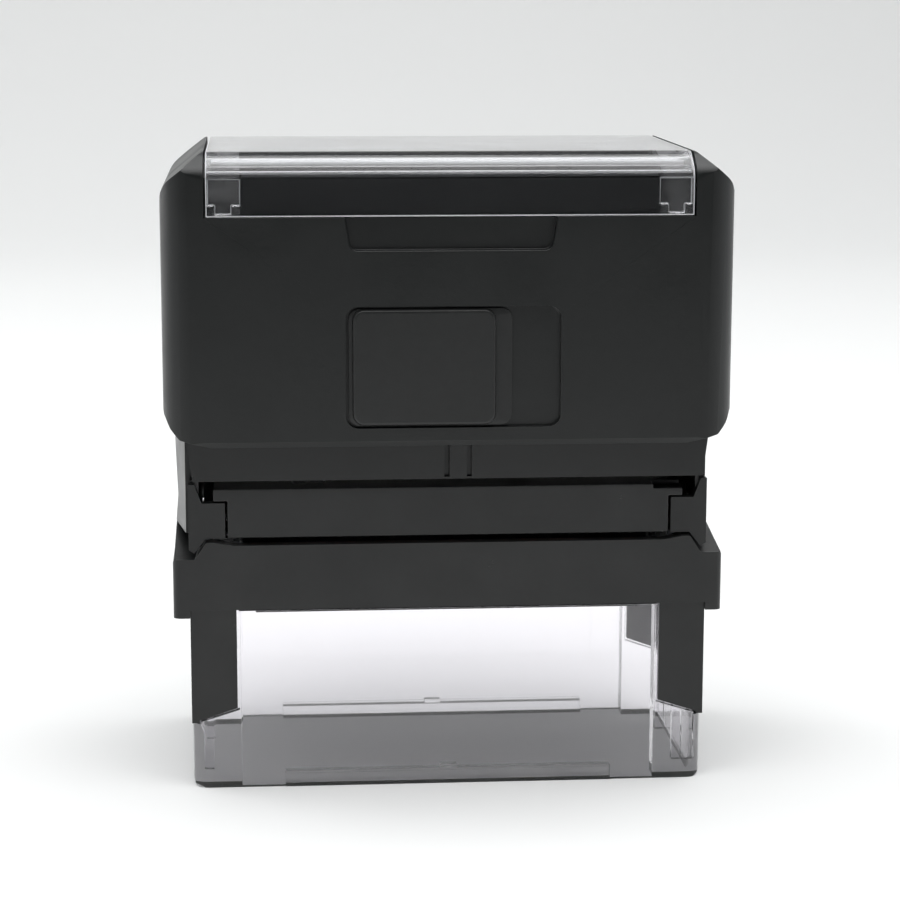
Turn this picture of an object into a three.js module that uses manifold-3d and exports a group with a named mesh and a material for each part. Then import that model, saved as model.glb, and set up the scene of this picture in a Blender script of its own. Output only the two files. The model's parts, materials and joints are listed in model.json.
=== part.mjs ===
// A self-inking stamp of the 58 x 22 mm imprint class, built as the separate pieces that it comes apart into.
// Millimetres, +Z up. The origin is on the surface that it stands on, under its middle. Its front faces -Y.
import * as THREE from 'three';
import { mergeVertices } from 'three/addons/utils/BufferGeometryUtils.js';
import Module from 'manifold-3d';

const wasm = await Module();
wasm.setup();

// ---------------------------------------------------------------- driving dimensions
const SIDES = [-1, 1];
const GAP = 0.3; // left between pieces that are cut to fit each other

const foot = { halfWidth: 36, halfDepth: 18.25, wall: 1.4, top: 25.55, cornerRadius: 2.2, bottomRadius: 1 };
const footPost = { inner: 29.2, reach: 14 };
const tongue = { bottom: 25.1, top: 31 };
const footStrip = { halfWidth: 23.1, height: 1.9, reach: 15.6, proud: 0.15 };

const band = {
  halfWidth: 38.4, halfDepth: 18.95, cornerRadius: 1,
  bottom: 25.85, overhangBottom: 24.75, top: 35, horn: 35.5, endTop: 33.1,
};
const ramp = { reach: 38.2, halfDepth: 18.4, crestHalfDepth: 3, crest: 35.5 }; // each end of the band rises to it
const inside = { halfWidth: 34.7, halfDepth: 16.9 }; // the clear well through both frames
const leg = {
  frontInner: 29.7, rearInner: 30.3, outerEnd: 9.5, innerEnd: 11.6, top: 27, thickness: 0.9, sideReach: 14.4,
};

const neck = { halfDepth: 18.1, bottom: 43.9, top: 55, bottomHalfWidth: 35.5, topHalfWidth: 36.15 };
const rail = { inner: 31.1, outer: 32.6, bottom: 35.85, top: 40.85 };
const ear = { halfDepth: 18.1, back: 16.5, outer: 36.15, top: 43.5 };
const deckTop = 45.6;
const guide = {
  halfDepth: 14, flatHalfDepth: 5, endReach: 36.6, reach: 38.2, waistReach: 37.8,
  bottom: 35.85, waist: 40, flare: 48.4, top: 53,
};

const cassette = { halfWidth: 30.75, flange: 32.7, halfDepth: 18.1, faceBottom: 35.9, skirtBottom: 38.5 };
const tray = { top: 42.75, flangeBottom: 41.1, skirtHalfDepth: 16.2 };
const pad = { halfWidth: 29.1, halfDepth: 12.2, face: 38.2, top: 41.2 };

const cap = { halfWidth: 39.35, halfDepth: 21.5, bottom: 49.1, top: 89.1, cornerRadius: 5 };
const cavity = {
  halfWidth: 38.7, halfDepth: 20, upperHalfDepth: 18.6, upperFrom: 76, ceiling: 85.4, cornerRadius: 2.4,
};
const cardSeat = 87; // height of the cap's flat top, under the index card
const seat = { halfDepth: 20.2, shoulder: 85.8, flatHalfDepth: 17.5 }; // what the index window clips over
const pane = { halfWidth: 33.05, bottom: 80.6, top: 89.1, inner: 20.4 };
const lug = {
  inner: 28.4, outer: 32.85, depth: 0.9, bottom: 82.1, top: 85.6,
  hookInner: 29.6, hookOuter: 31.9, hookBottom: 80.9,
};
const notch = { top: 14.5, bottom: 13.7, floor: 76, depth: 1.1 };
const recess = { left: -14.4, right: 15, bottom: 51.7, top: 68.4, floor: 20.7 };
const lock = { left: -14, right: 8.3, padLeft: -13.5, padRight: 6.1, bottom: 52, top: 68.1 };

const die = { halfWidth: 28.75, halfDepth: 11, face: 4.3 }; // face: how far it stands from the axle's middle
const axle = { height: 33.3, radius: 1.3, bore: 1.4 };
const arm = { inner: 33, outer: 34.3, halfDepth: 6.5, eyeRadius: 3.2 };
const bridge = { bottom: 82, top: 85 };
const spring = { x: 18, coilRadius: 4.4, wireRadius: 0.45, turns: 7, pegRadius: 2.6 };

// ---------------------------------------------------------------- finishes
function finish(color, roughness, metalness = 0) {
  return new THREE.MeshStandardMaterial({ color, roughness, metalness });
}

const blackPlastic = finish(0x1d1f20, 0.55);
const darkPlastic = finish(0x2b2d2e, 0.5);
const greyPlastic = finish(0x5d6062, 0.5);
const clearPlastic = finish(0xdfdfe8, 0.08);
const feltInk = finish(0x22202a, 0.95);
const cardWhite = finish(0xf4f3f0, 0.8);
const springSteel = finish(0xb9bcc0, 0.3, 1);
const redRubber = finish(0x9c3a34, 0.75);
const foam = finish(0x8f9496, 0.9);

// ---------------------------------------------------------------- solids from three.js geometry
function solid(geometry) {
  geometry.deleteAttribute('normal');
  geometry.deleteAttribute('uv');
  const merged = mergeVertices(geometry);
  const mesh = new wasm.Mesh({
    numProp: 3,
    vertProperties: new Float32Array(merged.attributes.position.array),
    triVerts: new Uint32Array(merged.index.array),
  });
  return new wasm.Manifold(mesh);
}

function block([x0, x1], [y0, y1], [z0, z1]) {
  const geometry = new THREE.BoxGeometry(x1 - x0, y1 - y0, z1 - z0);
  geometry.translate((x0 + x1) / 2, (y0 + y1) / 2, (z0 + z1) / 2);
  return solid(geometry);
}

// A closed outline of [u, v] corners. A third number rounds that corner with an arc of that radius.
function outline(corners, stepsPerArc = 6) {
  const path = [];
  const centreOfTurn = new THREE.Vector2();
  corners.forEach(([u, v, radius = 0], i) => {
    const corner = new THREE.Vector2(u, v);
    if (radius === 0) {
      path.push(corner);
      return;
    }
    const before = corners.at(i - 1);
    const after = corners[(i + 1) % corners.length];
    const back = new THREE.Vector2(before[0], before[1]).sub(corner).normalize();
    const ahead = new THREE.Vector2(after[0], after[1]).sub(corner).normalize();
    const half = back.angleTo(ahead) / 2;
    const centre = back.clone().add(ahead).normalize().multiplyScalar(radius / Math.sin(half)).add(corner);
    const spoke = back.clone().multiplyScalar(radius / Math.tan(half)).add(corner).sub(centre);
    const turn = (Math.PI - 2 * half) * Math.sign(ahead.cross(back));
    for (let step = 0; step <= stepsPerArc; step += 1) {
      path.push(spoke.clone().rotateAround(centreOfTurn, (turn * step) / stepsPerArc).add(centre));
    }
  });
  return new THREE.Shape(path);
}

function extruded(shape, depth) {
  return new THREE.ExtrudeGeometry(shape, { depth, bevelEnabled: false, steps: 1 });
}

// An outline seen from above, [x, y], standing from z0 to z1.
function upright(shape, [z0, z1]) {
  return solid(extruded(shape, z1 - z0).translate(0, 0, z0));
}

// An outline seen from the front, [x, z], running from y0 to y1.
function lengthwise(shape, [y0, y1]) {
  return solid(extruded(shape, y1 - y0).rotateX(Math.PI / 2).translate(0, y1, 0));
}

// An outline seen from the right, [y, z], running from x0 to x1.
function crosswise(shape, [x0, x1]) {
  const turned = new THREE.Matrix4().makeBasis(
    new THREE.Vector3(0, 1, 0),
    new THREE.Vector3(0, 0, 1),
    new THREE.Vector3(1, 0, 0),
  );
  return solid(extruded(shape, x1 - x0).applyMatrix4(turned).translate(x0, 0, 0));
}

function roundedRectangle(halfU, halfV, radius) {
  return outline([
    [-halfU, -halfV, radius],
    [halfU, -halfV, radius],
    [halfU, halfV, radius],
    [-halfU, halfV, radius],
  ]);
}

// The right half of a symmetric outline, from bottom to top, made whole.
function bothHalves(rightHalf) {
  const leftHalf = rightHalf.map(([u, v, radius = 0]) => [-u, v, radius]).reverse();
  return [...rightHalf, ...leftHalf];
}

function onSide(side, corners) {
  return corners.map(([u, v, radius = 0]) => [side * u, v, radius]);
}

function span(side, near, far) {
  return side > 0 ? [near, far] : [-far, -near];
}

// A rod or disc along X at a height above the base.
function rod([x0, x1], y, z, radius, facets = 24) {
  const geometry = new THREE.CylinderGeometry(radius, radius, x1 - x0, facets);
  return solid(geometry.rotateZ(Math.PI / 2).translate((x0 + x1) / 2, y, z));
}

function peg(x, radius, [z0, z1]) {
  const geometry = new THREE.CylinderGeometry(radius, radius, z1 - z0, 20);
  return solid(geometry.rotateX(Math.PI / 2).translate(x, 0, (z0 + z1) / 2));
}

function joined(first, ...others) {
  return others.reduce((whole, part) => whole.add(part), first);
}

function cutBy(first, ...others) {
  return others.reduce((whole, part) => whole.subtract(part), first);
}

function piece(name, material, body) {
  const mesh = body.getMesh();
  const geometry = new THREE.BufferGeometry();
  geometry.setAttribute('position', new THREE.Float32BufferAttribute(mesh.vertProperties, 3));
  geometry.setIndex(Array.from(mesh.triVerts));
  geometry.computeVertexNormals();
  const made = new THREE.Mesh(geometry, material);
  made.name = name;
  return made;
}

// ---------------------------------------------------------------- base: clear foot and the two black frames
// One leg over a corner of the foot: a plate on the front or back face, and a plate round the side.
function cornerLeg(side, face, grow = 0) {
  const outer = foot.halfWidth + 0.1;
  const skin = foot.halfDepth + 0.1;
  const inner = (face < 0 ? leg.frontInner : leg.rearInner) - grow;
  const thickness = leg.thickness + grow;
  const profile = [
    [outer, leg.outerEnd - grow],
    [outer, leg.top],
    [inner, leg.top],
    [inner, leg.innerEnd - grow],
  ];
  const facePlate = lengthwise(outline(onSide(side, profile)), span(face, skin - thickness, skin + grow));
  const sidePlate = block(
    span(side, outer - thickness, outer + grow),
    span(face, leg.sideReach - grow, skin),
    [leg.outerEnd - grow, leg.top],
  );
  return facePlate.add(sidePlate);
}

function clearFoot() {
  const plan = upright(roundedRectangle(foot.halfWidth, foot.halfDepth, foot.cornerRadius), [0, foot.top]);
  const front = lengthwise(
    outline(bothHalves([[foot.halfWidth, 0, foot.bottomRadius], [foot.halfWidth, foot.top]]), 3),
    [-20, 20],
  );
  let body = plan.intersect(front);
  const innerX = foot.halfWidth - foot.wall;
  const innerY = foot.halfDepth - foot.wall;
  body = body.subtract(block([-innerX, innerX], [-innerY, innerY], [-1, foot.top + 1]));
  for (const face of SIDES) {
    body = joined(
      body,
      block(
        [-footStrip.halfWidth, footStrip.halfWidth],
        span(face, footStrip.reach, foot.halfDepth + footStrip.proud),
        [0, footStrip.height],
      ),
      block([-1.2, 1.2], span(face, 16, foot.halfDepth), [0, footStrip.height + 0.6]),
      // a tongue that locates the foot inside the lower frame
      block([-27, 27], span(face, 15.4, innerY + 0.4), [tongue.bottom, foot.top]),
      block([-27, 27], span(face, 15.4, 16.6), [tongue.bottom, tongue.top]),
    );
    for (const side of SIDES) {
      const height = [0, foot.top];
      body = joined(
        body,
        block(span(side, footPost.inner, innerX + 0.5), span(face, footPost.reach, innerY + 0.5), height),
        // a rib that keeps the carrier's arm in line
        block(span(side, 33.2, innerX + 0.5), span(face, 7, 8.2), height),
      );
    }
  }
  for (const face of SIDES) {
    for (const side of SIDES) body = body.subtract(cornerLeg(side, face, GAP));
  }
  return body;
}

function lowerFrame() {
  // the top edge rises to a small horn beside each ear, then drops to the ends
  const profile = outline(bothHalves([
    [foot.halfWidth + 0.1, band.bottom],
    [foot.halfWidth + 0.1, band.overhangBottom],
    [band.halfWidth, band.overhangBottom],
    [band.halfWidth, band.endTop, 0.6],
    [35.35, band.endTop],
    [33.8, band.horn - 0.05, 0.2],
    [32.9, band.horn, 0.4],
    [30, band.top],
  ]));
  const plan = upright(roundedRectangle(band.halfWidth, band.halfDepth, band.cornerRadius), [20, 40]);
  let body = lengthwise(profile, [-band.halfDepth, band.halfDepth]).intersect(plan);
  body = body.subtract(
    block([-inside.halfWidth, inside.halfWidth], [-inside.halfDepth, inside.halfDepth], [20, 40]),
  );
  const rise = outline(bothHalves([
    [ramp.halfDepth, band.endTop - 1],
    [ramp.halfDepth, band.endTop],
    [ramp.crestHalfDepth, ramp.crest],
  ]));
  for (const side of SIDES) {
    body = joined(
      body,
      crosswise(rise, span(side, inside.halfWidth, ramp.reach)),
      cornerLeg(side, -1),
      cornerLeg(side, 1),
    );
  }
  return body;
}

// The corner piece that reaches down from the neck, with the shelf that the drawer's flange slides on.
function neckEar(side, face) {
  const profile = [
    [ear.outer, ear.top],
    [35.3, ear.top],
    [34.3, rail.top],
    [rail.inner, rail.top],
    [rail.inner, rail.bottom],
    [33.8, rail.bottom],
    [35.4, 33.8],
    [ear.outer, 34.3],
  ];
  return lengthwise(outline(onSide(side, profile)), span(face, ear.back, ear.halfDepth));
}

// The wing on the side of the neck that the cap slides over: waisted from the front, tapered from above.
function guideWing(side) {
  const profile = [
    [35.5, guide.bottom],
    [guide.reach, guide.bottom],
    [guide.waistReach, guide.waist],
    [guide.reach, guide.flare],
    [guide.reach, guide.top],
    [35.5, guide.top],
  ];
  const plan = upright(
    outline(bothHalves([
      [guide.endReach, -guide.halfDepth],
      [guide.reach, -guide.flatHalfDepth, 12],
      [guide.reach, guide.flatHalfDepth, 12],
      [guide.endReach, guide.halfDepth],
    ])),
    [guide.bottom - 1, guide.top + 1],
  );
  return lengthwise(outline(onSide(side, profile)), [-guide.halfDepth, guide.halfDepth]).intersect(plan);
}

function upperFrame() {
  const tube = lengthwise(
    outline(bothHalves([
      [neck.bottomHalfWidth, neck.bottom],
      [neck.topHalfWidth, cap.bottom],
      [neck.topHalfWidth, neck.top],
    ])),
    [-neck.halfDepth, neck.halfDepth],
  );
  let body = tube.subtract(
    block([-inside.halfWidth, inside.halfWidth], [-inside.halfDepth, inside.halfDepth], [deckTop, 60]),
  );
  for (const side of SIDES) {
    const wallDepth = [-ear.back - 0.3, ear.back + 0.3];
    body = joined(
      body,
      block(span(side, inside.halfWidth, 35.9), wallDepth, [rail.bottom, neck.bottom]),
      block(span(side, inside.halfWidth, neck.bottomHalfWidth), wallDepth, [ear.top, deckTop]),
      block(span(side, rail.inner, rail.outer), wallDepth, [rail.bottom + 0.1, rail.top - 0.1]),
      neckEar(side, -1),
      neckEar(side, 1),
      guideWing(side),
      peg(side * spring.x, spring.pegRadius, [deckTop - 0.5, 48.4]),
    );
    const armSlot = block(span(side, 32.7, inside.halfWidth), [-7, 7], [neck.bottom - 1, deckTop + 1]);
    body = body.subtract(armSlot);
  }
  const skin = -neck.halfDepth;
  const rib = block([0, 2.4], [skin - 0.35, skin + 1], [neck.bottom + 0.3, 49.6]);
  const height = [neck.bottom + 0.3, 52];
  const grooves = [-0.7, 2.4].map((x) => block([x, x + 0.7], [skin - 1, skin + 0.7], height));
  return cutBy(body, ...grooves).add(rib);
}

// ---------------------------------------------------------------- ink pad drawer
function padCassette() {
  const { halfWidth, flange, halfDepth } = cassette;
  const body = joined(
    block([-flange, flange], [-halfDepth, halfDepth], [tray.flangeBottom, tray.top]),
    block(
      [-halfWidth, halfWidth],
      [-tray.skirtHalfDepth, tray.skirtHalfDepth],
      [cassette.skirtBottom, tray.flangeBottom + 0.5],
    ),
    block([-halfWidth, halfWidth], [-halfDepth, -tray.skirtHalfDepth], [cassette.faceBottom, tray.top]),
    block([-halfWidth, halfWidth], [tray.skirtHalfDepth, halfDepth], [cassette.skirtBottom, tray.top]),
  );
  const pocket = block(
    [-pad.halfWidth - 0.15, pad.halfWidth + 0.15],
    [-pad.halfDepth - 0.15, pad.halfDepth + 0.15],
    [pad.face - 1, pad.top + 0.1],
  );
  // two reliefs beside the pad leave an even wall, and a step marks the right-hand end of the flange
  const reliefs = SIDES.map((face) => block([-27, 27], span(face, 13.4, 15.4), [38, 40.8]));
  const step = block([28.6, flange + 1], [-halfDepth - 1, -halfDepth + 3], [tray.top - 0.6, tray.top + 1]);
  return cutBy(body, pocket, ...reliefs, step);
}

function inkPad() {
  const plan = roundedRectangle(pad.halfWidth, pad.halfDepth, 0.8);
  return upright(plan, [pad.face, pad.top]);
}

// ---------------------------------------------------------------- cap, index window and lock
function capOuter() {
  const height = [cap.bottom, cap.top];
  const plan = upright(roundedRectangle(cap.halfWidth, cap.halfDepth, cap.cornerRadius), height);
  const frontView = lengthwise(
    outline(bothHalves([
      [32.7, cap.bottom],
      [37.1, cap.bottom + 1.1, 0.6],
      [38.35, cap.bottom + 2.5, 0.6],
      [cap.halfWidth, cap.bottom + 4.6, 1.5],
      [cap.halfWidth, 84.4, 4],
      [33.6, cap.top, 1],
    ])),
    [-30, 30],
  );
  const sideView = crosswise(
    outline(bothHalves([
      [cap.halfDepth - 0.6, cap.bottom],
      [cap.halfDepth, cap.bottom + 0.8],
      [cap.halfDepth, 86.7, 2.5],
      [18, cap.top, 3],
    ])),
    [-50, 50],
  );
  return plan.intersect(frontView).intersect(sideView);
}

function capCavity() {
  const plan = upright(
    roundedRectangle(cavity.halfWidth, cavity.halfDepth, cavity.cornerRadius),
    [cap.bottom - 1, cavity.ceiling],
  );
  const frontView = lengthwise(
    outline(bothHalves([[cavity.halfWidth, 48], [cavity.halfWidth, 82.3], [35, cavity.ceiling]])),
    [-30, 30],
  );
  const sideView = crosswise(
    outline(bothHalves([
      [cavity.halfDepth, 48],
      [cavity.halfDepth, cavity.upperFrom - 1.4],
      [cavity.upperHalfDepth, cavity.upperFrom],
      [cavity.upperHalfDepth, 84.4],
      [cavity.upperHalfDepth - 1, cavity.ceiling],
    ])),
    [-50, 50],
  );
  return plan.intersect(frontView).intersect(sideView);
}

function capShell() {
  const { halfDepth, shoulder, flatHalfDepth } = seat;
  const sill = pane.bottom - 0.1;
  const windowSeat = crosswise(
    outline([
      [-30, sill], [-halfDepth, sill], [-halfDepth, shoulder], [-flatHalfDepth, cardSeat],
      [flatHalfDepth, cardSeat], [halfDepth, shoulder], [halfDepth, sill], [30, sill], [30, 95], [-30, 95],
    ]),
    [-pane.halfWidth - GAP, pane.halfWidth + GAP],
  );
  const nailNotch = lengthwise(
    outline([
      [-notch.top, 81], [-notch.bottom, notch.floor, 1.2], [notch.bottom, notch.floor, 1.2], [notch.top, 81],
    ]),
    [-cap.halfDepth - 1, -cap.halfDepth + notch.depth],
  );
  const lockRecess = lengthwise(
    outline([
      [recess.left, recess.bottom, 1.7], [recess.right, recess.bottom, 1.7],
      [recess.right, recess.top, 1.7], [recess.left, recess.top, 1.7],
    ]),
    [-cap.halfDepth - 1, -recess.floor],
  );
  const lockSlot = block([-6.4, 5.4], [-22, -19], [58.1, 61.9]);
  const sideEdges = SIDES.map((side) => block(span(side, 37.6, 42), [-15.5, 15.5], [48, 51.4]));
  // each pocket runs out at the top, so that the window lifts straight off
  const lugPockets = SIDES.flatMap((side) => SIDES.map((face) => windowLug(side, face, cardSeat + 1, 0.2)));
  const openings = [windowSeat, nailNotch, lockRecess, lockSlot, ...sideEdges, ...lugPockets];
  return cutBy(capOuter(), capCavity(), ...openings);
}

// A clip behind each end of the window's front and back walls.
function windowLug(side, face, top = lug.top, grow = 0) {
  const depth = span(face, pane.inner - lug.depth - grow, pane.inner + 0.1);
  const plate = block(span(side, lug.inner - grow, lug.outer + grow), depth, [lug.bottom - grow, top]);
  const hook = block(
    span(side, lug.hookInner - grow, lug.hookOuter + grow),
    depth,
    [lug.hookBottom - grow, lug.bottom + 0.1],
  );
  return plate.add(hook);
}

function indexWindow() {
  const { halfDepth } = cap;
  const bent = crosswise(
    outline([
      [-halfDepth, pane.bottom], [-pane.inner, pane.bottom], [-pane.inner, 86.2, 1], [-17.6, 87.7, 1.5],
      [17.6, 87.7, 1.5], [pane.inner, 86.2, 1], [pane.inner, pane.bottom], [halfDepth, pane.bottom],
      [halfDepth, 86.7, 2.5], [18, pane.top, 3], [-18, pane.top, 3], [-halfDepth, 86.7, 2.5],
    ]),
    [-pane.halfWidth, pane.halfWidth],
  );
  const lugs = SIDES.flatMap((side) => SIDES.map((face) => windowLug(side, face)));
  return joined(bent, ...lugs);
}

function indexCard() {
  return upright(roundedRectangle(32.4, 17, 0.8), [cardSeat + 0.1, cardSeat + 0.4]);
}

function lockButton() {
  const plate = lengthwise(
    outline([
      [lock.left, lock.bottom, 1.5], [lock.right, lock.bottom, 1.5], [lock.right, lock.top, 1.5],
      [lock.left, lock.top, 1.5],
    ]),
    [-21.2, -20.8],
  );
  // the finger pad: a block with bevelled edges that stands proud of the cap's face
  const bevel = {
    bevelEnabled: true, bevelThickness: 0.5, bevelSize: 0.5, bevelOffset: -0.5, bevelSegments: 2,
  };
  const face = outline([
    [lock.padLeft, lock.bottom + 0.1, 1.6], [lock.padRight, lock.bottom + 0.1, 1.6],
    [lock.padRight, lock.top - 0.1, 1.6], [lock.padLeft, lock.top - 0.1, 1.6],
  ]);
  const padGeometry = new THREE.ExtrudeGeometry(face, { depth: 1, steps: 1, ...bevel });
  const bevelled = solid(padGeometry.rotateX(Math.PI / 2).translate(0, -20.5, 0));
  const fingerPad = bevelled.intersect(block([-20, 20], [-23, -21.1], [50, 70]));
  const stem = block([-6, -1], [-21, -19.2], [58.5, 61.5]);
  return joined(plate, fingerPad, stem);
}

function lockRetainer() {
  const clip = lengthwise(
    outline([[-9, 56, 1], [2, 56, 1], [2, 64, 1], [-9, 64, 1]]),
    [-19.8, -19.2],
  );
  return clip.subtract(block([-6.2, -0.8], [-22, -18], [58.3, 61.7]));
}

// ---------------------------------------------------------------- carrier, springs and turning die
function carrierYoke() {
  let body = block([-arm.outer, arm.outer], [-arm.halfDepth, arm.halfDepth], [bridge.bottom, bridge.top]);
  const eyeFoot = axle.height - arm.eyeRadius;
  for (const side of SIDES) {
    const blade = outline([
      [-arm.halfDepth, bridge.top], [-arm.halfDepth, 52], [-arm.eyeRadius, 44],
      [-arm.eyeRadius, eyeFoot, arm.eyeRadius * 0.98],
      [arm.eyeRadius, eyeFoot, arm.eyeRadius * 0.98],
      [arm.eyeRadius, 44], [arm.halfDepth, 52], [arm.halfDepth, bridge.top],
    ], 8);
    body = joined(
      body,
      crosswise(blade, span(side, arm.inner, arm.outer)),
      peg(side * spring.x, spring.pegRadius, [79, bridge.bottom + 0.5]),
    );
    body = body.subtract(rod(span(side, arm.inner - 1, arm.outer + 1), 0, axle.height, axle.bore));
  }
  return body;
}

class Coil extends THREE.Curve {
  constructor(x, low, high) {
    super();
    this.x = x;
    this.low = low;
    this.high = high;
  }

  // Half a turn at each end lies almost flat, as a ground spring end does.
  getPoint(t) {
    const angle = 2 * Math.PI * spring.turns * t;
    const eased = t - Math.sin(2 * Math.PI * t) / (2 * Math.PI) * 0.55;
    return new THREE.Vector3(
      this.x + spring.coilRadius * Math.cos(angle),
      spring.coilRadius * Math.sin(angle),
      this.low + (this.high - this.low) * eased,
    );
  }
}

function returnSpring(side) {
  const inset = spring.wireRadius + 0.1;
  const path = new Coil(side * spring.x, deckTop + inset, bridge.bottom - inset);
  const section = [];
  for (let i = 0; i < 7; i += 1) {
    const angle = (2 * Math.PI * i) / 7;
    section.push(new THREE.Vector2(Math.cos(angle), Math.sin(angle)).multiplyScalar(spring.wireRadius));
  }
  const sweep = { steps: spring.turns * 14, extrudePath: path };
  return solid(new THREE.ExtrudeGeometry(new THREE.Shape(section), sweep));
}

function platen() {
  const z = axle.height;
  let body = block([-die.halfWidth, die.halfWidth], [-die.halfDepth, die.halfDepth], [z - 2.2, z + 1.5]);
  for (const side of SIDES) {
    const hub = rod(span(side, 23.5, 28.9), 0, z, 2.6);
    const aboveCushion = block([-40, 40], [-40, 40], [z + 1.5, z + 6]);
    body = body.add(hub.subtract(aboveCushion));
    for (const face of SIDES) {
      // open pockets in the back lighten the plate and leave ribs between them
      body = cutBy(
        body,
        block(span(side, 1, 11.5), span(face, 1.2, 9.8), [z - 3, z]),
        block(span(side, 13, 22.5), span(face, 1.2, 9.8), [z - 3, z]),
      );
    }
    body = body.subtract(rod(span(side, 24, 30), 0, z, axle.bore));
  }
  return body;
}

function onDie(low, high) {
  return block(
    [-die.halfWidth, die.halfWidth],
    [-die.halfDepth, die.halfDepth],
    [axle.height + low, axle.height + high],
  );
}

function rubberDie() {
  const z = axle.height;
  const printing = block([-27.6, 27.6], [-9.9, 9.9], [z + 3.2, z + die.face]);
  const insideBorder = block([-26.8, 26.8], [-9.1, 9.1], [z + 3.3, z + 6]);
  let body = onDie(2.5, 3.3).add(printing.subtract(insideBorder));
  // plain raised bars stand where a customer's own lines of print would be
  for (const y of [-6, -2, 2, 6]) {
    body = body.add(block([-24, 24], [y - 1.1, y + 1.1], [z + 3.2, z + die.face]));
  }
  return body;
}

function axlePin(side) {
  return rod(span(side, 24.3, 34.2), 0, axle.height, axle.radius);
}

// A cam on the end of the platen. Its peg follows the frame's track and turns the die over.
function turningCam(side) {
  const disc = rod(span(side, 29.2, 30.2), 0, axle.height, 4.4, 32);
  const follower = rod(span(side, 30, 32.2), 0, axle.height - 3, 1);
  return disc.add(follower).subtract(rod(span(side, 28, 34), 0, axle.height, axle.bore));
}

// ---------------------------------------------------------------- the stamp
const stamp = new THREE.Group();

const base = new THREE.Group();
base.add(
  piece('clear_foot', clearPlastic, clearFoot()),
  piece('lower_frame', blackPlastic, lowerFrame()),
  piece('upper_frame', blackPlastic, upperFrame()),
);

const drawer = new THREE.Group();
drawer.add(
  piece('pad_cassette', darkPlastic, padCassette()),
  piece('ink_pad', feltInk, inkPad()),
);

const press = new THREE.Group();
press.add(
  piece('cap_shell', blackPlastic, capShell()),
  piece('index_window', clearPlastic, indexWindow()),
  piece('index_card', cardWhite, indexCard()),
  piece('lock_button', darkPlastic, lockButton()),
  piece('lock_retainer', darkPlastic, lockRetainer()),
  piece('carrier_yoke', greyPlastic, carrierYoke()),
  piece('left_return_spring', springSteel, returnSpring(-1)),
  piece('right_return_spring', springSteel, returnSpring(1)),
);

const turning = new THREE.Group();
turning.add(
  piece('platen', darkPlastic, platen()),
  piece('cushion_layer', foam, onDie(1.6, 2.4)),
  piece('rubber_die', redRubber, rubberDie()),
  piece('left_axle_pin', springSteel, axlePin(-1)),
  piece('right_axle_pin', springSteel, axlePin(1)),
  piece('left_turning_cam', greyPlastic, turningCam(-1)),
  piece('right_turning_cam', greyPlastic, turningCam(1)),
);

stamp.add(base, drawer, press, turning);
export default stamp;
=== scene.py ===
"""A self-inking stamp on a plain pale floor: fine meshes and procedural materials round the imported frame."""
import json
import math

import bmesh
import bpy
from mathutils import Matrix, Quaternion, Vector, noise


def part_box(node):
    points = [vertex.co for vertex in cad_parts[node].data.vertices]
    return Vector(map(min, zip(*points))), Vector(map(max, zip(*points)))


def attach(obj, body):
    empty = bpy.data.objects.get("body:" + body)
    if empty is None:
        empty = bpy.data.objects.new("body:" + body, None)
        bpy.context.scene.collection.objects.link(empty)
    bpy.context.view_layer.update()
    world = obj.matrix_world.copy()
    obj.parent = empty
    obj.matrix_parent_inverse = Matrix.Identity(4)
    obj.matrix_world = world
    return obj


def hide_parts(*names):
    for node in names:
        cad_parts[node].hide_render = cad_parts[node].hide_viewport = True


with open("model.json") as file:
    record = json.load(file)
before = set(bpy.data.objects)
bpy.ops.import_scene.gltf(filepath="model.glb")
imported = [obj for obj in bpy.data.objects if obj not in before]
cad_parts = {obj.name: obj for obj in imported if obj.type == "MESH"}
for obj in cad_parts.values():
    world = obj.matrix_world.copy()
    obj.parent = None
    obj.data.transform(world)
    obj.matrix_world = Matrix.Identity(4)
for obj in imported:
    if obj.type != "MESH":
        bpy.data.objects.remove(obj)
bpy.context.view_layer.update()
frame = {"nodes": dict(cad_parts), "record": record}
MM = 0.001
BODY_OF = {node: body for body, nodes in frame["record"]["behaviour"]["bodies"].items() for node in nodes}

# ---------------------------------------------------------------- camera
CAMERA_YAW = math.radians(4.47)
CAMERA_PITCH = math.radians(10.51)
CAMERA_ROLL = math.radians(0.106)
CAMERA_DISTANCE = 0.3645
CAMERA_TARGET = Vector((0.00148, 0, 0.0446))
LENS_MM = 100

# ---------------------------------------------------------------- roundings, in millimetres
WELD = 0.03
WIDE_EDGE = 0.4
WIDE_EDGE_STEPS = 5
NOTCH_FRONT = 20.3
NOTCH_HEIGHTS = (75.5, 80.5)
NOTCH_REACH = 16
CLIP_START = 28.4
SHARP = math.radians(28)
SMOOTH_UP_TO = math.radians(50)
FLAT_WITHIN = math.radians(0.6)

# ---------------------------------------------------------------- return springs and ink pad, in millimetres
SPRING_WIRE = 0.45
SPRING_TURNS = 7
STEPS_PER_TURN = 28
END_TIGHTNESS = 0.55
FELT_EDGE = 0.25
FELT_VOXEL = 0.45
FELT_INSET = 0.09
FELT_FLECK = 0.05
FELT_FLECK_SCALES = (1400, 350)  # how many flecks a metre holds, for the two layers

# ---------------------------------------------------------------- paper sweep, in metres, and light tent
SWEEP_FRONT = -0.45
SWEEP_DEPTH = 1.2
SWEEP_HEIGHT = 1.6
SWEEP_BEND = 0.5
SWEEP_BEND_STEPS = 12
SWEEP_HALF_WIDTH = 2
TENT_FRONT = 0.08
TENT_BACK = 0.72
TENT_FADE = (-0.75, 0.1)  # the part of the way from front to back over which the tent brightens
TENT_COLOR = (0.93, 0.965, 1.0)


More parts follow.
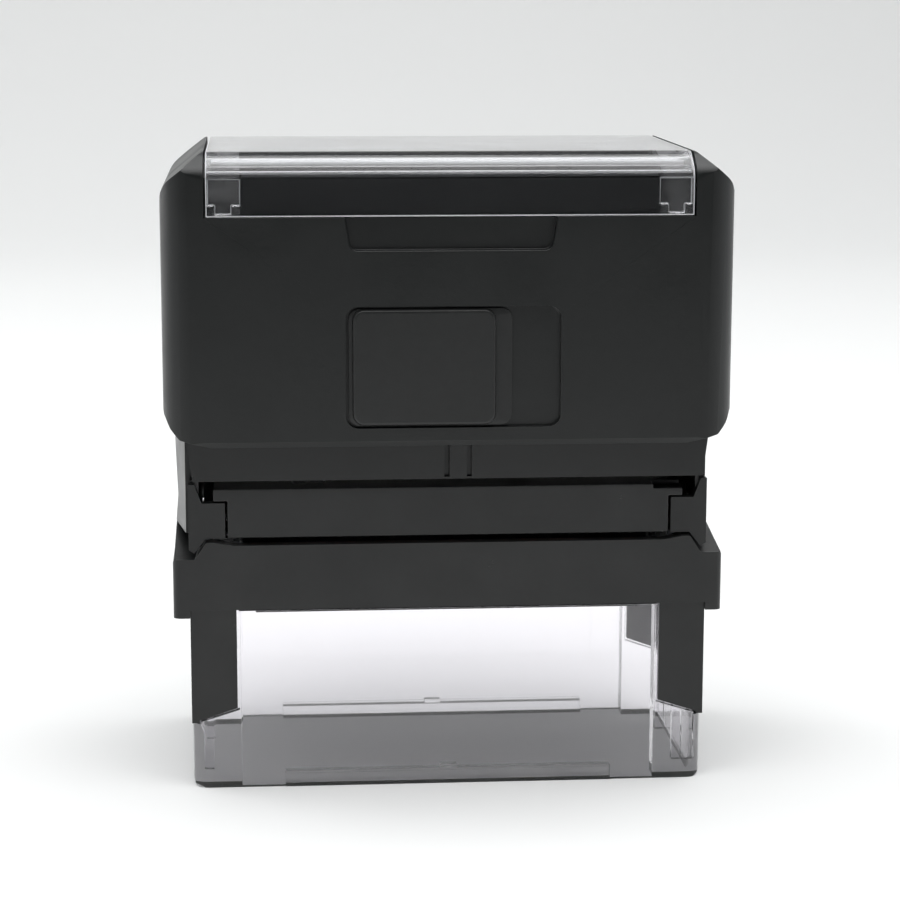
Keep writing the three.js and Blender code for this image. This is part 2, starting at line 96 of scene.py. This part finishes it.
def make_camera():
    """The camera looks slightly down, from a little to the left of the front."""
    look = Vector((0, math.cos(CAMERA_PITCH), -math.sin(CAMERA_PITCH)))
    place = CAMERA_TARGET - look * CAMERA_DISTANCE
    round_object = Matrix.Rotation(-CAMERA_YAW, 3, "Z")
    data = bpy.data.cameras.new("camera")
    data.lens = LENS_MM
    data.sensor_width = 36
    data.clip_start = 0.01
    camera = bpy.data.objects.new("camera", data)
    bpy.context.scene.collection.objects.link(camera)
    camera.rotation_mode = "QUATERNION"
    camera.location = round_object @ place
    facing = (round_object @ look).to_track_quat("-Z", "Y")
    camera.rotation_quaternion = facing @ Quaternion((0, 0, 1), CAMERA_ROLL)
    bpy.context.scene.camera = camera


# ---------------------------------------------------------------- materials
class Finish:
    """A node material, built up from a Principled shader in a few calls."""

    def __init__(self, name, color, roughness, metallic=0.0, specular=0.5):
        self.material = bpy.data.materials.new(name)
        self.material.use_nodes = True
        self.tree = self.material.node_tree
        self.shader = self.tree.nodes["Principled BSDF"]
        self.color = (*color, 1)
        self.set("Base Color", self.color)
        self.set("Roughness", roughness)
        self.set("Metallic", metallic)
        self.set("Specular IOR Level", specular)
        self.place = self.node("ShaderNodeTexCoord").outputs["Object"]

    def set(self, socket, value):
        self.shader.inputs[socket].default_value = value

    def node(self, kind, **settings):
        made = self.tree.nodes.new(kind)
        for key, value in settings.items():
            setattr(made, key, value)
        return made

    def link(self, source, target):
        self.tree.links.new(source, target)

    def noise(self, size, detail=4.0):
        """A noise whose blobs are about size metres across."""
        texture = self.node("ShaderNodeTexNoise")
        texture.inputs["Scale"].default_value = 1 / size
        texture.inputs["Detail"].default_value = detail
        self.link(self.place, texture.inputs["Vector"])
        return texture.outputs["Fac"]

    def ramp(self, source, low, high, at=(0.3, 0.7)):
        """Source remapped to run from low to high, which are numbers or colours."""
        if isinstance(low, (int, float)):
            ramp = self.node("ShaderNodeMapRange")
            ramp.inputs["From Min"].default_value = at[0]
            ramp.inputs["From Max"].default_value = at[1]
            ramp.inputs["To Min"].default_value = low
            ramp.inputs["To Max"].default_value = high
            self.link(source, ramp.inputs["Value"])
            return ramp.outputs["Result"]
        band = self.node("ShaderNodeValToRGB")
        band.color_ramp.elements[0].position = at[0]
        band.color_ramp.elements[1].position = at[1]
        band.color_ramp.elements[0].color = (*low, 1)
        band.color_ramp.elements[1].color = (*high, 1)
        self.link(source, band.inputs["Fac"])
        return band.outputs["Color"]

    def roughness(self, size, low, high):
        self.link(self.ramp(self.noise(size), low, high), self.shader.inputs["Roughness"])
        return self

    def bump(self, layers):
        """Layers of (blob size, height), both in metres, one on another."""
        normal = None
        for size, height in layers:
            bump = self.node("ShaderNodeBump")
            bump.inputs["Strength"].default_value = 1
            bump.inputs["Distance"].default_value = height
            self.link(self.noise(size, detail=2), bump.inputs["Height"])
            if normal is not None:
                self.link(normal, bump.inputs["Normal"])
            normal = bump.outputs["Normal"]
        self.link(normal, self.shader.inputs["Normal"])
        return self

    def worn_edges(self, wear_and_glint, patch=0.003):
        """The colour goes towards the wear colour on the rounded outer edges, in patches."""
        patches = self.ramp(self.noise(patch), 0.2, 1.0)
        amount = self.node("ShaderNodeMath", operation="MULTIPLY")
        self.link(self.node("ShaderNodeAttribute", attribute_name="wear_and_glint").outputs["Fac"], amount.inputs[0])
        self.link(patches, amount.inputs[1])
        mix = self.node("ShaderNodeMix", data_type="RGBA")
        mix.inputs["A"].default_value = self.color
        mix.inputs["B"].default_value = (*wear_and_glint, 1)
        self.link(amount.outputs["Value"], mix.inputs["Factor"])
        speckle = self.ramp(self.noise(0.0012, detail=3), (0.92, 0.92, 0.92), (1.08, 1.08, 1.08))
        tint = self.node("ShaderNodeMix", data_type="RGBA", blend_type="MULTIPLY")
        tint.inputs["Factor"].default_value = 1
        self.link(mix.outputs["Result"], tint.inputs["A"])
        self.link(speckle, tint.inputs["B"])
        self.link(tint.outputs["Result"], self.shader.inputs["Base Color"])
        return self


def moulded_plastic(name, color, wear_and_glint, rough=(0.30, 0.42), grain=(0.00035, 0.000010)):
    """Satin plastic: a fine spark-eroded grain, in patches that are slightly shinier or duller."""
    made = Finish(name, color, 0.5, specular=0.45)
    made.worn_edges(wear_and_glint).roughness(0.009, *rough).bump([grain, (0.004, 0.00002)])
    return made.material


def clear_plastic(name, tint, whitest, clip_start=None):
    """Polished clear plastic whose outer edges carry a painted highlight, milky-white with less transmission
    and more roughness, and whose painted highlight spreads in patches from clip_start metres out to each side.
    """
    made = Finish(name, tint, 0.03)
    made.set("IOR", 1.5)
    made.set("Transmission Weight", 1.0)
    made.bump([(0.012, 0.000015)])
    # Painted highlight: the marked outer edges turn milky-white, with less transmission and more roughness.
    edge = made.node("ShaderNodeAttribute", attribute_name="wear_and_glint").outputs["Fac"]
    if clip_start:
        # Painted highlight in patches over the clip ends of the window.
        edge = painted_end_highlight(made, edge, clip_start)
    uneven = made.ramp(made.noise(0.006), 0.015, 0.06)
    rough = made.node("ShaderNodeMath", operation="MULTIPLY_ADD")
    rough.inputs[1].default_value = 0.3
    made.link(edge, rough.inputs[0])
    made.link(uneven, rough.inputs[2])
    made.link(rough.outputs["Value"], made.shader.inputs["Roughness"])
    made.link(made.ramp(edge, 1.0, whitest, at=(0, 1)), made.shader.inputs["Transmission Weight"])
    return made.material


def painted_end_highlight(made, edge, clip_start):
    """The edge value, raised in patches over the ends, where the plastic is two walls thick: a painted
    highlight on the clips.
    """
    place = made.node("ShaderNodeSeparateXYZ")
    made.link(made.place, place.inputs["Vector"])
    across = made.node("ShaderNodeMath", operation="ABSOLUTE")
    made.link(place.outputs["X"], across.inputs[0])
    at_end = made.ramp(across.outputs["Value"], 0.0, 1.0, at=(clip_start, clip_start + 0.2 * MM))
    amount = made.node("ShaderNodeMath", operation="MULTIPLY")
    made.link(at_end, amount.inputs[0])
    made.link(made.ramp(made.noise(0.0025), 0.01, 0.10), amount.inputs[1])
    most = made.node("ShaderNodeMath", operation="MAXIMUM")
    made.link(edge, most.inputs[0])
    made.link(amount.outputs["Value"], most.inputs[1])
    return most.outputs["Value"]


def inked_felt():
    made = Finish("inked_felt", (0.018, 0.016, 0.026), 0.85)
    made.set("Sheen Weight", 0.25)
    fibres = made.ramp(made.noise(0.0006, detail=8), (0.010, 0.009, 0.016), (0.04, 0.036, 0.055))
    made.link(fibres, made.shader.inputs["Base Color"])
    made.roughness(0.002, 0.7, 0.95).bump([(0.0003, 0.0001), (0.0012, 0.0002)])
    return made.material


def engraved_rubber():
    made = Finish("engraved_rubber", (0.30, 0.05, 0.04), 0.7)
    inked = made.ramp(made.noise(0.005, detail=6), (0.05, 0.02, 0.025), (0.34, 0.065, 0.05), at=(0.35, 0.6))
    made.link(inked, made.shader.inputs["Base Color"])
    made.roughness(0.003, 0.5, 0.8).bump([(0.0004, 0.00003)])
    return made.material


def foam_sheet():
    made = Finish("foam_sheet", (0.28, 0.29, 0.30), 0.9)
    cells = made.ramp(made.noise(0.0005, detail=5), (0.18, 0.19, 0.20), (0.36, 0.37, 0.38))
    made.link(cells, made.shader.inputs["Base Color"])
    made.roughness(0.002, 0.8, 0.95).bump([(0.0005, 0.0001)])
    return made.material


def drawn_steel(name, dark, light):
    """Wire or rod, with the faint streaks that drawing it leaves."""
    made = Finish(name, light, 0.25, metallic=1.0)
    made.roughness(0.001, 0.16, 0.34).bump([(0.0004, 0.000008)])
    streaks = made.ramp(made.noise(0.0015, detail=6), dark, light)
    made.link(streaks, made.shader.inputs["Base Color"])
    return made.material


def uncoated_card():
    made = Finish("uncoated_card", (0.86, 0.86, 0.86), 0.85)
    fibres = made.ramp(made.noise(0.0015, detail=8), (0.80, 0.80, 0.81), (0.88, 0.88, 0.88))
    made.link(fibres, made.shader.inputs["Base Color"])
    made.roughness(0.003, 0.75, 0.95).bump([(0.0006, 0.00001)])
    return made.material


BLACK = moulded_plastic("satin_black_plastic", (0.0075, 0.0085, 0.0083), (0.026, 0.027, 0.026))
FRAME_BLACK = moulded_plastic(
    "frame_black_plastic", (0.0085, 0.009, 0.009), (0.028, 0.028, 0.028), (0.27, 0.38)
)
BUTTON = moulded_plastic("button_plastic", (0.0135, 0.0142, 0.014), (0.04, 0.04, 0.04), (0.36, 0.46))
GREY = moulded_plastic("grey_plastic", (0.10, 0.105, 0.11), (0.18, 0.18, 0.18), (0.3, 0.42))
# Both clear plastics paint a milky-white highlight on their outer edges: the window strongly and in patches
# over its clip ends, the foot faintly.
CLEAR = clear_plastic("clear_foot_plastic", (0.95, 0.94, 0.96), 0.85)
WINDOW = clear_plastic("clear_window_plastic", (0.965, 0.965, 0.98), 0.3, CLIP_START * MM)
STEEL = drawn_steel("spring_wire", (0.48, 0.48, 0.50), (0.68, 0.69, 0.71))
BLACKENED_STEEL = drawn_steel("blackened_steel", (0.03, 0.03, 0.034), (0.07, 0.07, 0.075))


# ---------------------------------------------------------------- meshes
def mesh_piece(name, mesh, node, material):
    """A new piece that stands for a CAD node and rides on its body."""
    mesh.name = name
    piece = bpy.data.objects.new(name, mesh)
    bpy.context.scene.collection.objects.link(piece)
    mesh.materials.clear()
    mesh.materials.append(material)
    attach(piece, BODY_OF[node])
    return piece


def welded(node, join):
    """The node's solid as a bmesh, with its flat faces made whole and then cut into convex faces."""
    made = bmesh.new()
    made.from_mesh(frame["nodes"][node].data)
    bmesh.ops.remove_doubles(made, verts=made.verts, dist=join)
    bmesh.ops.dissolve_limit(
        made, angle_limit=FLAT_WITHIN, verts=made.verts, edges=made.edges, delimit={"NORMAL"}
    )
    # A flat face with an opening in it is one loop with a seam, so it is cut into convex faces.
    bmesh.ops.connect_verts_concave(made, faces=[face for face in made.faces if len(face.verts) > 4])
    return made


def sharp_edges(made):
    return [e for e in made.edges if len(e.link_faces) == 2 and e.calc_face_angle() > SHARP]


def rounded_mesh(made, edge, steps=3, clamp=True):
    """Every sharp edge of made, rounded off by edge metres. Faces on an outer edge get a value of 1 in a face
    layer that marks edge wear on the black plastics and a painted highlight on the clear plastics.
    """
    for face in made.faces:
        face.smooth = True
    wear_and_glint = made.faces.layers.float.new("wear_and_glint")
    rounding = bmesh.ops.bevel(
        made, geom=sharp_edges(made), offset=edge, offset_type="OFFSET", segments=steps, profile=0.5,
        affect="EDGES", clamp_overlap=clamp, harden_normals=False, miter_outer="ARC",
    )
    # Outer edge faces are marked 1: edge wear on the black plastics, a painted highlight on the clear
    # plastics.
    for face in rounding["faces"]:
        bends = [e.calc_face_angle_signed(0) for e in face.edges]
        face[wear_and_glint] = 1.0 if sum(bends) > 0 else 0.0
    mesh = bpy.data.meshes.new("rounded")
    made.to_mesh(mesh)
    made.free()
    for polygon in mesh.polygons:
        polygon.use_smooth = True
    mesh.set_sharp_from_angle(angle=SMOOTH_UP_TO)
    return mesh


def soften(made, chosen):
    """A wider rounding on the sharp edges that chosen picks by their middle, in millimetres."""
    picked = [e for e in sharp_edges(made) if chosen((e.verts[0].co + e.verts[1].co) / 2 / MM)]
    bmesh.ops.bevel(
        made, geom=picked, offset=WIDE_EDGE * MM, offset_type="OFFSET", segments=WIDE_EDGE_STEPS, profile=0.5,
        affect="EDGES", clamp_overlap=True, harden_normals=False,
    )


def on_thumb_notch(middle):
    """True on the front edges of the notch that a thumb presses under the window."""
    lowest, highest = NOTCH_HEIGHTS
    return middle.y < -NOTCH_FRONT and lowest < middle.z < highest and abs(middle.x) < NOTCH_REACH


def on_pad_face(middle):
    """True on the edges round the button's front face."""
    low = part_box("lock_button")[0]
    return middle.y < low.y / MM + 0.1


def moulding(node, material, edge, softer=None, clamp=True, join=WELD):
    """The node's own shape with its edges rounded. Points nearer than join merge. Both are in millimetres."""
    made = welded(node, join * MM)
    if softer:
        soften(made, softer)
    mesh = rounded_mesh(made, edge * MM, clamp=clamp)
    piece = mesh_piece(node + "_moulding", mesh, node, material)
    smooth = piece.modifiers.new("even_normals", "WEIGHTED_NORMAL")
    smooth.keep_sharp = True
    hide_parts(node)
    return piece


def swept_tube(points, radius, sides=12):
    """A closed tube along the points, with flat ends."""
    made = bmesh.new()
    rings = []
    side_way = Vector((0, 0, 1))
    for i, point in enumerate(points):
        ahead = (points[min(i + 1, len(points) - 1)] - points[max(i - 1, 0)]).normalized()
        across = ahead.cross(side_way).normalized()
        up = across.cross(ahead).normalized()
        ring = []
        for k in range(sides):
            angle = 2 * math.pi * k / sides
            ring.append(made.verts.new(point + radius * (across * math.cos(angle) + up * math.sin(angle))))
        rings.append(ring)
    for one, two in zip(rings, rings[1:]):
        for k in range(sides):
            made.faces.new((one[k], one[(k + 1) % sides], two[(k + 1) % sides], two[k]))
    made.faces.new(list(reversed(rings[0])))
    made.faces.new(rings[-1])
    bmesh.ops.recalc_face_normals(made, faces=made.faces)
    mesh = bpy.data.meshes.new("tube")
    made.to_mesh(mesh)
    made.free()
    for polygon in mesh.polygons:
        polygon.use_smooth = True
    mesh.set_sharp_from_angle(angle=math.radians(60))
    return mesh


# ---------------------------------------------------------------- the inside pieces
def return_spring(node):
    """A coil of round wire whose turns sit closer together at its ends."""
    low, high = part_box(node)
    wire = SPRING_WIRE * MM
    coil_radius = (high.y - low.y) / 2 - wire
    middle = (low + high) / 2
    steps = SPRING_TURNS * STEPS_PER_TURN
    points = []
    for i in range(steps + 1):
        t = i / steps
        eased = t - math.sin(2 * math.pi * t) / (2 * math.pi) * END_TIGHTNESS
        angle = 2 * math.pi * SPRING_TURNS * t
        points.append(Vector((
            middle.x + coil_radius * math.cos(angle),
            coil_radius * math.sin(angle),
            low.z + wire + (high.z - low.z - 2 * wire) * eased,
        )))
    piece = mesh_piece(node + "_coil", swept_tube(points, wire), node, STEEL)
    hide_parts(node)
    return piece


def ink_pad():
    """Felt with softly rounded edges, whose lower face is uneven and set in a little."""
    made = welded("ink_pad", WELD * MM)
    bmesh.ops.triangulate(made, faces=made.faces)
    mesh = rounded_mesh(made, FELT_EDGE * MM, steps=2)
    piece = mesh_piece("ink_pad_felt", mesh, "ink_pad", inked_felt())
    remesh = piece.modifiers.new("felt_grain", "REMESH")
    remesh.mode = "VOXEL"
    remesh.voxel_size = FELT_VOXEL * MM
    bpy.context.view_layer.update()
    graph = bpy.context.evaluated_depsgraph_get()
    fine = bpy.data.meshes.new_from_object(piece.evaluated_get(graph))
    piece.modifiers.clear()
    piece.data = fine
    low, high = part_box("ink_pad")
    for vertex in fine.vertices:
        fleck = sum(noise.noise(vertex.co * scale) for scale in FELT_FLECK_SCALES) * FELT_FLECK
        if vertex.co.z < (low.z + high.z) / 2:
            vertex.co.z += (FELT_INSET + fleck) * MM
    for polygon in fine.polygons:
        polygon.use_smooth = True
    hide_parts("ink_pad")
    return piece


# ---------------------------------------------------------------- the studio
def studio():
    """A pale sweep of paper under and behind the stamp."""
    paper = Finish("pale_paper", (0.90, 0.90, 0.89), 0.75, specular=0.2)
    paper.roughness(0.02, 0.7, 0.85)
    made = bmesh.new()
    profile = [(SWEEP_FRONT, 0.0), (SWEEP_DEPTH - SWEEP_BEND, 0.0)]
    for i in range(1, SWEEP_BEND_STEPS + 1):
        angle = math.pi / 2 * i / SWEEP_BEND_STEPS
        profile.append((
            SWEEP_DEPTH - SWEEP_BEND + SWEEP_BEND * math.sin(angle),
            SWEEP_BEND - SWEEP_BEND * math.cos(angle),
        ))
    profile.append((SWEEP_DEPTH, SWEEP_HEIGHT))
    rows = [
        [made.verts.new((x, y, z)) for y, z in profile]
        for x in (-SWEEP_HALF_WIDTH, SWEEP_HALF_WIDTH)
    ]
    for k in range(len(profile) - 1):
        made.faces.new((rows[0][k], rows[1][k], rows[1][k + 1], rows[0][k + 1]))
    mesh = bpy.data.meshes.new("sweep")
    made.to_mesh(mesh)
    made.free()
    for polygon in mesh.polygons:
        polygon.use_smooth = True
    sweep = bpy.data.objects.new("paper_sweep", mesh)
    sweep.data.materials.append(paper.material)
    bpy.context.scene.collection.objects.link(sweep)


def softbox(name, place, aim, size, power):
    data = bpy.data.lights.new(name, "AREA")
    data.shape = "RECTANGLE"
    data.size, data.size_y = size
    data.energy = power
    light = bpy.data.objects.new(name, data)
    light.location = place
    light.rotation_euler = (Vector(aim) - Vector(place)).to_track_quat("-Z", "Y").to_euler()
    bpy.context.scene.collection.objects.link(light)


def lights():
    """A light tent: bright above, behind and beside the stamp, and dim on the side it is looked at from."""
    world = bpy.data.worlds.new("tent")
    world.use_nodes = True
    tree = world.node_tree
    direction = tree.nodes.new("ShaderNodeSeparateXYZ")
    tree.links.new(tree.nodes.new("ShaderNodeTexCoord").outputs["Generated"], direction.inputs["Vector"])
    front_to_back = tree.nodes.new("ShaderNodeMapRange")
    front_to_back.inputs["From Min"].default_value = TENT_FADE[0]
    front_to_back.inputs["From Max"].default_value = TENT_FADE[1]
    front_to_back.inputs["To Min"].default_value = TENT_FRONT
    front_to_back.inputs["To Max"].default_value = TENT_BACK
    tree.links.new(direction.outputs["Y"], front_to_back.inputs["Value"])
    background = tree.nodes["Background"]
    background.inputs["Color"].default_value = (*TENT_COLOR, 1)
    tree.links.new(front_to_back.outputs["Result"], background.inputs["Strength"])
    bpy.context.scene.world = world
    softbox("top_light", place=(0, -0.12, 0.9), aim=(0, -0.02, 0), size=(1.05, 0.9), power=9.4)
    softbox("back_light", place=(0, 0.6, 0.9), aim=(0, 1.3, 0.3), size=(1.6, 0.6), power=1.6)
    softbox("side_light", place=(-0.8, 0.45, 0.35), aim=(0, 0, 0.05), size=(0.4, 0.7), power=1.4)


# ---------------------------------------------------------------- build
make_camera()
bpy.context.scene.view_settings.view_transform = "Standard"
studio()
lights()

moulding("cap_shell", BLACK, 0.18, softer=on_thumb_notch)
moulding("lower_frame", FRAME_BLACK, 0.12, join=0.12)
moulding("upper_frame", FRAME_BLACK, 0.12)
moulding("pad_cassette", FRAME_BLACK, 0.15)
moulding("lock_button", BUTTON, 0.12, softer=on_pad_face)
moulding("lock_retainer", FRAME_BLACK, 0.08)
moulding("carrier_yoke", GREY, 0.15)
moulding("platen", FRAME_BLACK, 0.12)
moulding("left_turning_cam", GREY, 0.1)
moulding("right_turning_cam", GREY, 0.1)
moulding("left_axle_pin", BLACKENED_STEEL, 0.15)
moulding("right_axle_pin", BLACKENED_STEEL, 0.15)
moulding("cushion_layer", foam_sheet(), 0.1)
moulding("rubber_die", engraved_rubber(), 0.06)
moulding("index_card", uncoated_card(), 0.05)
moulding("clear_foot", CLEAR, 0.12)
moulding("index_window", WINDOW, 0.15, clamp=False)
return_spring("left_return_spring")
return_spring("right_return_spring")
ink_pad()
